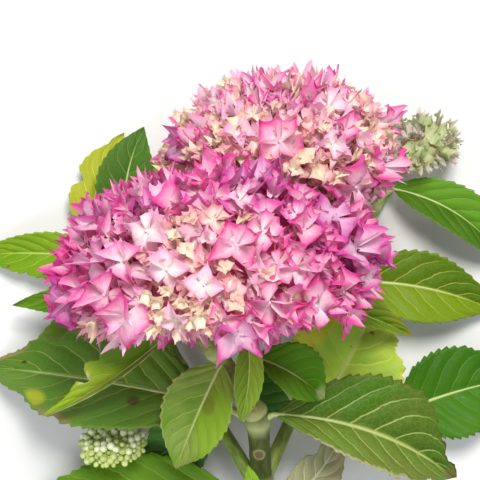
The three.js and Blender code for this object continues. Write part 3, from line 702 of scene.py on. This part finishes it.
FORKS = 26
BEADS = 220
TIP_ROOM = 2
TIP_BEND = 0.65
GOLDEN_ANGLE = math.pi * (3 - math.sqrt(5))
# Each layer of florets: how many are tried, how deep they may sit, their radius, and how near
# two may stand as a share of both radii.
FLORET_LAYERS = ((900, -2, 2, 6, 0.434), (1800, -2, 5.5, 10, 0.372), (1300, 6, 12, 8.6, 0.4464))
# A sepal's steps from foot to tip, with its half width at each.
SEPAL_STEPS = 5
SEPAL_PROFILE = (0.12, 0.34, 0.45, 0.29, 0.1, 0.008)
# The chart that sepals take their colour from: moods across, depths up, and how far a sepal
# reaches into its field. A mood gives the heart and the edge, from unripe cream to violet.
MOODS, DEPTHS = 8, 4
CHART_REACH = 0.46
SEPAL_HEARTS = [
    (255, 249, 222), (255, 246, 228), (255, 242, 238), (254, 232, 236),
    (254, 226, 236), (252, 208, 226), (251, 220, 236), (242, 196, 226),
]
SEPAL_EDGES = [
    (249, 218, 194), (246, 176, 188), (249, 184, 216), (242, 122, 188),
    (238, 90, 170), (231, 74, 160), (223, 92, 172), (209, 86, 168),
]


def ramp_steps(add, share, colours):
    """Colour ramp in even steps."""
    node = add("ShaderNodeValToRGB", links={"Fac": share})
    ramp = node.color_ramp
    ramp.interpolation = "CONSTANT"
    while len(ramp.elements) < len(colours):
        ramp.elements.new(0.5)
    for i, colour in enumerate(colours):
        ramp.elements[i].position = i / len(colours)
        ramp.elements[i].color = colour_of(colour)
    return node.outputs[0]


def sepal_material(name, hearts, edges):
    """Sepal skin drawn in a chart of moods across and depths up, one sepal to a field."""
    material, shader, add, link = new_material(name, 0.5)
    place = add("ShaderNodeUVMap", uv_map="OFBake").outputs[0]
    apart = add("ShaderNodeSeparateXYZ", links={"Vector": place})
    column = add_math(add, "MULTIPLY", apart.outputs[0], MOODS)
    row = add_math(add, "MULTIPLY", apart.outputs[1], DEPTHS)
    side = add_math(add, "MULTIPLY_ADD", add_math(add, "FRACT", column), 2, -1)
    side = add_math(add, "ABSOLUTE", side)
    out = add_math(add, "FRACT", row)
    depth = add_math(add, "DIVIDE", add_math(add, "FLOOR", row), DEPTHS - 1)
    heart = ramp_steps(add, apart.outputs[0], hearts)
    edge = ramp_steps(add, apart.outputs[0], edges)
    grain = add("ShaderNodeMapping", {"Scale": (150, 9, 1)}, {"Vector": place}).outputs[0]
    streak = add_noise(add, 1, 3, grain)
    rim = add_math(add, "MULTIPLY", add_math(add, "POWER", side, 2.0), add_math(add, "ADD", out, 0.3))
    reach = add_math(add, "MULTIPLY_ADD", rim, 0.5, out)
    reach = add_math(add, "MULTIPLY_ADD", add_math(add, "SUBTRACT", streak, 0.5), 0.34, reach)
    reach = add_math(add, "MULTIPLY_ADD", depth, -0.2, reach)
    base = add_mix(add, add_range(add, reach, 0.06, 0.64), heart, edge)
    vein = add_range(add, streak, 0.56, 0.72, 0.35)
    base = add_mix(add, add_math(add, "MULTIPLY", vein, out), base, edge)
    link(base, shader.inputs["Base Color"])
    glow = add("ShaderNodeBsdfTranslucent", links={"Color": add_mix(add, 0.35, base, edge)})
    blend = add("ShaderNodeMixShader", {0: 0.36}, {1: shader.outputs[0], 2: glow.outputs[0]})
    link(blend.outputs[0], material.node_tree.nodes["Material Output"].inputs["Surface"])
    return material


def floret_shape(seed, open_share, across=2):
    """One floret of unit radius: four pointed sepals, folded, wavy and curled, round a bead."""
    chance = random.Random(seed)
    bm = bmesh.new()
    chart = bm.loops.layers.uv.new("OFBake")
    lift_all = chance.uniform(-0.1, 0.5) * open_share + 1.25 * (1 - open_share)
    for k in range(4):
        made = bmesh.ops.create_grid(bm, x_segments=across, y_segments=SEPAL_STEPS, size=1)["verts"]
        length, wide = chance.uniform(0.9, 1.25), chance.uniform(0.94, 1.22)
        bend = chance.uniform(-1.6, 2.1)
        fold, roll = chance.uniform(-0.4, 1.1), chance.uniform(-1.2, 1.5)
        lean, sweep = lift_all + chance.uniform(-0.25, 0.35) - 0.25 * bend, chance.uniform(-0.16, 0.16)
        wave, uneven = chance.uniform(0.05, 0.12), chance.uniform(-0.5, 0.5)
        spine = [(0.03, 0.03 * (k % 2))]
        for i in range(SEPAL_STEPS):
            tilt = lean + bend * (i + 0.5) / SEPAL_STEPS * (0.4 + 0.12 * i)
            along, high = spine[-1]
            step = length / SEPAL_STEPS
            spine.append((along + math.cos(tilt) * step, high + math.sin(tilt) * step))
        for face in {f for v in made for f in v.link_faces}:
            for loop in face.loops:
                loop[chart].uv = [0.5 + CHART_REACH * c for c in loop.vert.co.xy]
        for vert in made:
            side, out = vert.co.x, (vert.co.y + 1) / 2
            half = SEPAL_PROFILE[round(out * SEPAL_STEPS)] * wide
            along, high = spine[round(out * SEPAL_STEPS)]
            off = side * half * (1 - 0.3 * abs(fold * side)) + sweep * out**2
            high += (1.3 * fold + 1.3 * uneven * side + 0.8 * roll * side**2) * abs(side) * half
            high += wave * (1 + abs(side)) * math.sin(8 * out + 3 * side + k)
            cos, sin = math.cos(math.radians(90 * k)), math.sin(math.radians(90 * k))
            vert.co = (along * cos - off * sin, along * sin + off * cos, high)
    lifted = Matrix.Translation((0, 0, 0.06))
    bead = bmesh.ops.create_uvsphere(
        bm, u_segments=4, v_segments=3, radius=0.085, matrix=lifted
    )["verts"]
    for face in {f for v in bead for f in v.link_faces}:
        for loop in face.loops:
            loop[chart].uv = (0.5, 0.1)
    mesh = bpy.data.meshes.new(f"floret_shape_{seed}_{across}")
    bm.to_mesh(mesh)
    bm.free()
    return mesh


open_florets = [floret_shape(40 + i, 1.0) for i in range(FLORET_SHAPES)]
large_florets = [floret_shape(40 + i, 1.0, 6) for i in range(FLORET_SHAPES)]
closed_florets = [floret_shape(80 + i, 0.3 + 0.1 * (i % 5)) for i in range(FLORET_SHAPES)]


def head_directions(head):
    """Axis of a flower head and the two directions square to it."""
    axis = Vector(head["axis"]).normalized()
    right = axis.cross(UP).normalized()
    return axis, right, right.cross(axis)


def head_place(head, polar, turn, sunk):
    """Place on a head's dome and the direction out of it."""
    axis, right, front = head_directions(head)
    tall = head["height"] if math.cos(polar) > 0 else head["under"]
    tall *= 1 + head.get("skew", 0) * math.sin(polar) * math.cos(turn)
    round_about = right * math.cos(turn) + front * math.sin(turn)
    place = Vector(head["base"]) + axis * (math.cos(polar) * (tall - sunk))
    place += round_about * (math.sin(polar) * (head["radius"] - sunk))
    out = axis * (math.cos(polar) / tall) + round_about * (math.sin(polar) / head["radius"])
    return place, out.normalized()


def dome_under_pixel(head, column, row):
    """Where the view from above through a picture point meets a head's dome."""
    eye = Vector((0, 0, CAMERA_HEIGHT))
    middle = PICTURE_SIDE / 2
    ray = Vector(((column - middle) * PIXEL_SLOPE, (middle - row) * PIXEL_SLOPE, -1))
    axis = head_directions(head)[0]
    best = None
    for far in range(640, int(CAMERA_HEIGHT)):
        place = eye + ray * far
        gap = place - Vector(head["base"])
        high = gap.dot(axis)
        tall = head["height"] if high > 0 else head["under"]
        flat = gap - axis * high
        inside = (high / tall) ** 2 + (flat.length / head["radius"]) ** 2
        out = (axis * (high / tall**2) + flat / head["radius"] ** 2).normalized()
        if best is None or inside < best[0]:
            best = (inside, place, out)
        if inside < 1:
            break
    return best[1], best[2]


def seen_at(place):
    """Picture column and row of a place in the view from above."""
    pixel = PIXEL_SLOPE * (CAMERA_HEIGHT - place.z)
    return PICTURE_SIDE / 2 + place.x / pixel, PICTURE_SIDE / 2 - place.y / pixel


def past_edge(place, head):
    """Whether a place is seen below the ragged rim of a bloom or above its crown."""
    column, row = seen_at(place)
    for edge, way in ((head["rim"], 1), (head["crown"], -1)):
        for (left, left_row), (right, right_row) in zip(edge, edge[1:]):
            if left <= column < right:
                edge_row = left_row + (right_row - left_row) * (column - left) / (right - left)
                if way * (row - edge_row) > 0:
                    return True
    return False


dealt_florets = {}


def dealt(shape, column, row):
    """A floret shape whose map lies in its field of the chart."""
    key = (shape.name, column, row)
    if key not in dealt_florets:
        bm = bmesh.new()
        bm.from_mesh(shape)
        chart = bm.loops.layers.uv["OFBake"]
        for face in bm.faces:
            for loop in face.loops:
                u, v = loop[chart].uv
                loop[chart].uv = ((column + u) / MOODS, (row + v) / DEPTHS)
        dealt_florets[key] = bpy.data.meshes.new("dealt_floret")
        bm.to_mesh(dealt_florets[key])
        bm.free()
    return dealt_florets[key]


def turned_to(out):
    """Turn that brings +Z to a direction."""
    return out.to_track_quat("Z", "Y").to_matrix().to_4x4()


def add_floret(bm, shape, place, out, radius, turn, column, row):
    """Sets a floret in place."""
    floret = dealt(shape, column, row).copy()
    spun = turned_to(out) @ Matrix.Rotation(turn, 4, "Z")
    floret.transform(Matrix.Translation(place) @ spun @ Matrix.Scale(radius, 4))
    bm.from_mesh(floret)
    bpy.data.meshes.remove(floret)


def add_stalk(bm, foot, top, thick, slim):
    """Slim four-sided stalk."""
    along = (top - foot).normalized()
    length = (top - foot).length
    move = Matrix.Translation(foot + along * (length / 2)) @ turned_to(along)
    bmesh.ops.create_cone(bm, segments=4, radius1=thick, radius2=slim, depth=length, matrix=move)


def clear_of_parting(place, side):
    """Distance of a place into a bloom's own side of the plane where the two press together."""
    return side * (place - PARTING_POINT).dot(PARTING_NORMAL)


def spread(widest, i, count):
    """How far off the head's axis the i-th of its flowers stands, so that they cover it evenly."""
    return math.radians(widest) * ((i + 0.5) / count) ** 0.56


def any_way(chance):
    """A direction at random."""
    return Vector((chance.uniform(-1, 1), chance.uniform(-1, 1), chance.uniform(-1, 1)))


def mood_of(place, head, chance):
    """Mood by the distance from the youngest part of the bloom, more mauve at its sides and top."""
    away = (place - Vector(head["young"])).length / head["radius"]
    mood = min(4.6 - head["paler"], 5.4 * away - 0.8) + chance.gauss(0, 0.8)
    sky = head["side"] == -1 and place.y > 8 and place.z > 100
    if away > 0.8 and chance.random() < 0.45 - 0.13 * head["paler"] or sky and chance.random() < 0.5:
        mood = chance.choice((5, 6, 6, 7))
    if chance.random() < head["cream"]:
        return chance.choice((0, 0, 1))
    return max(0, min(MOODS - 1, round(max(mood, chance.uniform(-0.5, 2.0)))))


def bloom_sites(name, head):
    """Florets of a bloom as (place, out, radius, turn, mood, depth, closed, shape)."""
    chance = random.Random(head["seed"])
    sites = []
    for column, row, radius, turn, right_lean, down_lean, mood, shape in HEROES[name]:
        place, out = dome_under_pixel(head, column, row)
        facing = (out + UP * 0.5 + Vector((right_lean, -down_lean, 0))).normalized()
        turn = math.radians(turn)
        sites.append((place + facing * 2, facing, radius, turn, mood, DEPTHS - 1, mood == 0, shape))
    for layer, (count, low, high, big, near) in enumerate(FLORET_LAYERS):
        kept = [] if layer == 2 else sites
        for i in range(count):
            polar = spread(head["polar"], i, count)
            turn = i * GOLDEN_ANGLE + chance.uniform(-0.2, 0.2)
            place, out = head_place(head, polar, turn, chance.uniform(low, high))
            radius = big * chance.uniform(0.72, 1.12)
            lean = any_way(chance) * 0.7
            mood = mood_of(place, head, chance)
            spin = chance.uniform(0, 6.3)
            depth = chance.randrange(DEPTHS - 1) + int(head["paler"] > 0)
            shape = chance.randrange(FLORET_SHAPES)
            closed = chance.random() < (0.75 if mood < 2 else 0.4)
            if mood < 2 and layer:
                radius *= 0.7
            if layer == 0 and (mood > 1 or chance.random() < 0.35):
                continue
            room = clear_of_parting(place, head["side"])
            if past_edge(place, head):
                place, out = head_place(head, polar, turn, BED_DEPTH - 1.5)
                radius, lean, closed = 0.5 * radius, 0.4 * lean, True
            if room < -PARTING_REACH:
                continue
            place += PARTING_NORMAL * (head["side"] * max(0, PARTING_ROOM - room))
            if any((place - other[0]).length < near * (radius + other[2]) for other in kept):
                continue
            kept.append((place, (out + lean).normalized(), radius, spin, mood, depth, closed, shape))
        if layer == 2:
            sites += kept
    return sites


sepal_skin = sepal_material("bloom_sepals", SEPAL_HEARTS, SEPAL_EDGES)


def bed_material(name, light, dark):
    """Buds and floret backs deep in the bloom, in tints that are painted shade: their colours in the
    shade between the florets.
    """
    material, shader, add, link = new_material(name, 0.8)
    on_piece = add("ShaderNodeTexCoord").outputs["Object"]
    crowd = add("ShaderNodeTexVoronoi", {"Scale": 1900}, {"Vector": on_piece}).outputs[0]
    share = add_range(add, crowd, 0.1, 0.6)
    link(add_mix(add, share, colour_of(light), colour_of(dark)), shader.inputs["Base Color"])
    return material


flower_stalk_skin = mottled_skin("flower_stalk_skin", 0.6, 0, 700, (206, 186, 130), (232, 168, 176))
# The bed's tints are painted shade: deep pink for the shaded gaps among the florets, and pink and dark
# olive for the floret backs in shade under the bloom.
bloom_bed_skins = [
    bed_material("bloom_bed_painted_shade", (232, 126, 176), (196, 92, 128)),
    bed_material("bloom_underside_painted_shade", (222, 150, 176), (136, 116, 82)),
]


def add_bed(bm, head, sunk):
    """Uneven closed cushion of the head's dome, which its stalks and florets stand out of."""
    made = bmesh.ops.create_uvsphere(bm, u_segments=40, v_segments=24, radius=1)["verts"]
    below = set()
    for vert in made:
        polar = math.acos(max(-1, min(1, vert.co.z)))
        if polar > UNDERSIDE_FROM:
            below.add(vert)
        place, out = head_place(head, polar, math.atan2(vert.co.y, vert.co.x), sunk)
        room = clear_of_parting(place, head["side"]) if head["side"] else 99
        place += PARTING_NORMAL * (head["side"] * max(0, 8 - room))
        vert.co = place + out * (0.045 * head["radius"] * noise.noise(place * 0.16))
    for face in bm.faces:
        face.material_index = int(below.issuperset(face.verts))
    bmesh.ops.recalc_face_normals(bm, faces=bm.faces)


# Tips that stand high above the solid blooms are bent down towards them.
tallest = (to_frame.inverted() @ Vector((0, 0, cad_box[1][2]))).z + TIP_ROOM
for name, head in BLOOMS.items():
    sites = bloom_sites(name, head)
    chance = random.Random(head["seed"] + 1)
    tip = stem_lines[head["stem"]][STEM_PLACES][0]
    axis = head_directions(head)[0]
    florets, stalks, bed = bmesh.new(), bmesh.new(), bmesh.new()
    florets.loops.layers.uv.new("OFBake")
    forks = []
    for i in range(FORKS):
        polar = math.radians(22 + 84 * ((i * 0.618) % 1))
        place = head_place(head, polar, i * GOLDEN_ANGLE, head["radius"] * 0.36)[0]
        forks.append(place)
        add_stalk(stalks, tip - axis * 1.5, place, 1.5, 0.9)
    for i, (place, out, radius, turn, mood, depth, closed, shape) in enumerate(sites):
        shapes = closed_florets if closed else large_florets if i < len(HEROES[name]) else open_florets
        add_floret(florets, shapes[shape], place, out, radius, turn, mood, depth)
        fork = min(forks, key=lambda f: (f - place).length)
        add_stalk(stalks, fork, place, 0.6, 0.4)
    chart = florets.loops.layers.uv["OFBake"]
    for i in range(BEADS):
        turn = i * GOLDEN_ANGLE + 0.7
        place, out = head_place(head, spread(head["polar"], i, BEADS), turn, chance.uniform(7, 13))
        if clear_of_parting(place, head["side"]) < 4 or past_edge(place, head):
            continue
        first = len(florets.faces)
        bmesh.ops.create_icosphere(
            florets, subdivisions=1, radius=chance.uniform(1.0, 1.9), matrix=Matrix.Translation(place)
        )
        florets.faces.ensure_lookup_table()
        for face in florets.faces[first:]:
            for loop in face.loops:
                loop[chart].uv = ((mood_of(place, head, chance) // 2 + 0.5) / MOODS, 0.35 / DEPTHS)
        add_stalk(stalks, place - out * 8, place, 0.5, 0.35)
    for vert in florets.verts:
        vert.co.z -= TIP_BEND * max(0, vert.co.z - tallest)
    add_bed(bed, head, BED_DEPTH)
    finish_piece(f"{name}_florets", florets, [sepal_skin], name)
    finish_piece(f"{name}_stalks", stalks, [flower_stalk_skin], name)
    finish_piece(f"{name}_bed", bed, bloom_bed_skins, name)


# The pale head at the right is younger: small greenish-white florets, loosely packed on
# the tip of its own shoot.
YOUNG_HEAD = {
    "base": (94, 49, 21), "axis": (0.1, 0.9, 0.42),
    "radius": 19, "height": 14, "under": 9, "side": 0,
}
YOUNG_FLORETS = 72
YOUNG_HEARTS = [(216, 222, 172), (224, 226, 184), (228, 224, 204), (218, 224, 178)] * 2
YOUNG_EDGES = [(190, 200, 138), (206, 206, 164), (222, 208, 206), (196, 206, 148)] * 2
young_skin = sepal_material("young_sepals", YOUNG_HEARTS, YOUNG_EDGES)
chance = random.Random(37)
florets, stalks = bmesh.new(), bmesh.new()
florets.loops.layers.uv.new("OFBake")
tip = stem_lines["young_shoot"][STEM_PLACES][0]
for i in range(YOUNG_FLORETS):
    polar = spread(125, i, YOUNG_FLORETS)
    place, out = head_place(YOUNG_HEAD, polar, i * GOLDEN_ANGLE, chance.uniform(0, 5))
    out = (out + any_way(chance) * 0.4).normalized()
    shape = (open_florets if i % 3 else closed_florets)[i % FLORET_SHAPES]
    radius, turn = chance.uniform(4.4, 6.6), 6.3 * chance.random()
    add_floret(florets, shape, place, out, radius, turn, i % MOODS, i % DEPTHS)
    add_stalk(stalks, tip + (place - tip) * 0.12, place, 0.5, 0.3)
finish_piece("young_head_florets", florets, [young_skin], "young_head")
finish_piece("young_head_stalks", stalks, [flower_stalk_skin], "young_head")


# The bud head stands on a thin bent shoot near the cut: a tight flat dome of round
# greenish-white buds on short green stalks.
BUD_HEAD = {
    "base": (-65, -105, 32), "axis": (-0.1, 0.8, 0.57),
    "radius": 17.5, "height": 10, "under": 6, "side": 0,
}
BUDS = 120
PALE_BUD_SIZE = 2.25


def bud_material(name, tints):
    """Waxy bud skin, a little different from bud to bud."""
    material, shader, add, link = new_material(name, 0.38, 0.1)
    share = add_range(add, add_noise(add, 420, 1), 0.35, 0.65)
    link(add_mix(add, share, colour_of(tints[0]), colour_of(tints[1])), shader.inputs["Base Color"])
    return material


buds = bmesh.new()
stalks = bmesh.new()
chance = random.Random(5)
tip = stem_lines["bud_shoot"][STEM_PLACES][0]
for i in range(BUDS):
    polar = math.acos(1 - 1.15 * (i + 0.5) / BUDS)
    place, out = head_place(BUD_HEAD, polar, i * GOLDEN_ANGLE, chance.uniform(0.6, 3.4))
    radius = chance.choice((1.3, 1.6, 1.9, 2.15)) * chance.uniform(0.92, 1.05)
    move = Matrix.Translation(place) @ turned_to(out) @ Matrix.Diagonal((1, 1, 1.15, 1))
    made = bmesh.ops.create_uvsphere(
        buds, u_segments=8, v_segments=6, radius=radius, matrix=move
    )["verts"]
    for face in {f for v in made for f in v.link_faces}:
        face.material_index = 0 if radius + out.y > PALE_BUD_SIZE else 1
    fork = tip + (place - tip) * 0.3 + Vector(BUD_HEAD["axis"]) * 1.5
    add_stalk(stalks, fork, place, 0.5, 0.35)
    if i % 12 == 0:
        add_stalk(stalks, tip - Vector(BUD_HEAD["axis"]), fork, 1.0, 0.8)
bud_skins = [
    bud_material("bud_skin_pale", ((244, 246, 214), (226, 234, 182))),
    bud_material("bud_skin_green", ((206, 218, 142), (172, 192, 102))),
]
bed = bmesh.new()
add_bed(bed, BUD_HEAD, 3.6)
finish_piece("bud_head_bed", bed, [bud_skins[1]] * 2, "bud_head")
finish_piece("bud_head_buds", buds, bud_skins, "bud_head")
finish_piece("bud_head_stalks", stalks, [flower_stalk_skin], "bud_head")


# Plain pale floor and soft studio light: a big soft key from the flower end, a weaker
# fill from the cut end, and even light all round.
floor_bm = bmesh.new()
bmesh.ops.create_grid(floor_bm, x_segments=1, y_segments=1, size=3)
floor_mesh = bpy.data.meshes.new("floor")
floor_bm.to_mesh(floor_mesh)
floor_bm.free()
floor = bpy.data.objects.new("floor", floor_mesh)
floor_skin, floor_shader, _, _ = new_material("floor_paint", 0.85)
floor_shader.inputs["Base Color"].default_value = (0.76, 0.76, 0.74, 1)
floor_mesh.materials.append(floor_skin)
bpy.context.scene.collection.objects.link(floor)


def add_light(name, place, aim, size, power, colour):
    """Soft square light aimed at a point."""
    lamp = bpy.data.lights.new(name, "AREA")
    lamp.size = size
    lamp.energy = power
    lamp.color = colour
    light = bpy.data.objects.new(name, lamp)
    light.location = place
    light.rotation_euler = (Vector(aim) - Vector(place)).to_track_quat("-Z", "Y").to_euler()
    bpy.context.scene.collection.objects.link(light)


add_light("key", (0.12, 0.55, 1.1), (0, 0.0, 0.05), 0.4, 15.5, (1.0, 0.98, 0.96))
add_light("fill", (-0.5, -0.8, 0.9), (0, 0, 0.05), 0.9, 7, (0.96, 0.97, 1.0))
world = bpy.data.worlds.new("studio")
world.use_nodes = True
world.node_tree.nodes["Background"].inputs["Color"].default_value = (0.87, 0.91, 1.0, 1)
world.node_tree.nodes["Background"].inputs["Strength"].default_value = 0.45
bpy.context.scene.world = world
bpy.context.scene.view_settings.view_transform = "Standard"

camera_data = bpy.data.cameras.new("camera")
camera_data.sensor_width = 36.0
camera_data.lens = 18.0 / math.tan(CAMERA_WIDE / 2)
camera_data.clip_start, camera_data.clip_end = 0.01, 10
camera = bpy.data.objects.new("camera", camera_data)
camera.location = to_frame @ Vector((0, 0, CAMERA_HEIGHT))
bpy.context.scene.collection.objects.link(camera)
bpy.context.scene.camera = camera
